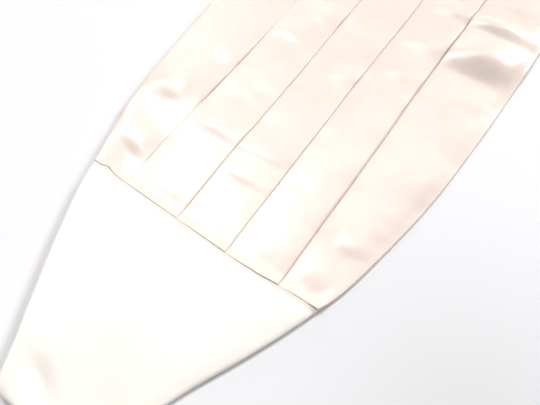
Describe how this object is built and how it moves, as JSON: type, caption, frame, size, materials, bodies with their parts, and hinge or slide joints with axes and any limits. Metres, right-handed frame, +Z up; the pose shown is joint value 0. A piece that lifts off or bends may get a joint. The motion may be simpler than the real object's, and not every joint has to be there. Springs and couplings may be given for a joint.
{
  "type": "cummerbund",
  "caption": "Pleated satin cummerbund laid flat and open, with plain tapered side panels and elastic back straps that end in a hook and an eye.",
  "frame": {"origin": "on the resting surface, under the middle of the pleated front", "axes": "+X along the garment to the end with the hook, +Y to the edge that is worn down, +Z up, away from the surface"},
  "size_m": [0.782, 0.1474, 0.0067],
  "materials": {
    "satin_front": "ivory satin, soft sheen, pleated",
    "satin_side": "ivory satin, soft sheen, plain",
    "elastic": "ribbed ivory elastic webbing",
    "nickel": "satin nickel plating"
  },
  "bodies": {
    "root": {"pleated_front": "satin_front", "side_panel_eye_end": "satin_side", "side_panel_hook_end": "satin_side", "strap_eye_end": "elastic", "strap_hook_end": "elastic", "eye": "nickel", "hook": "nickel"}
  },
  "joints": []
}
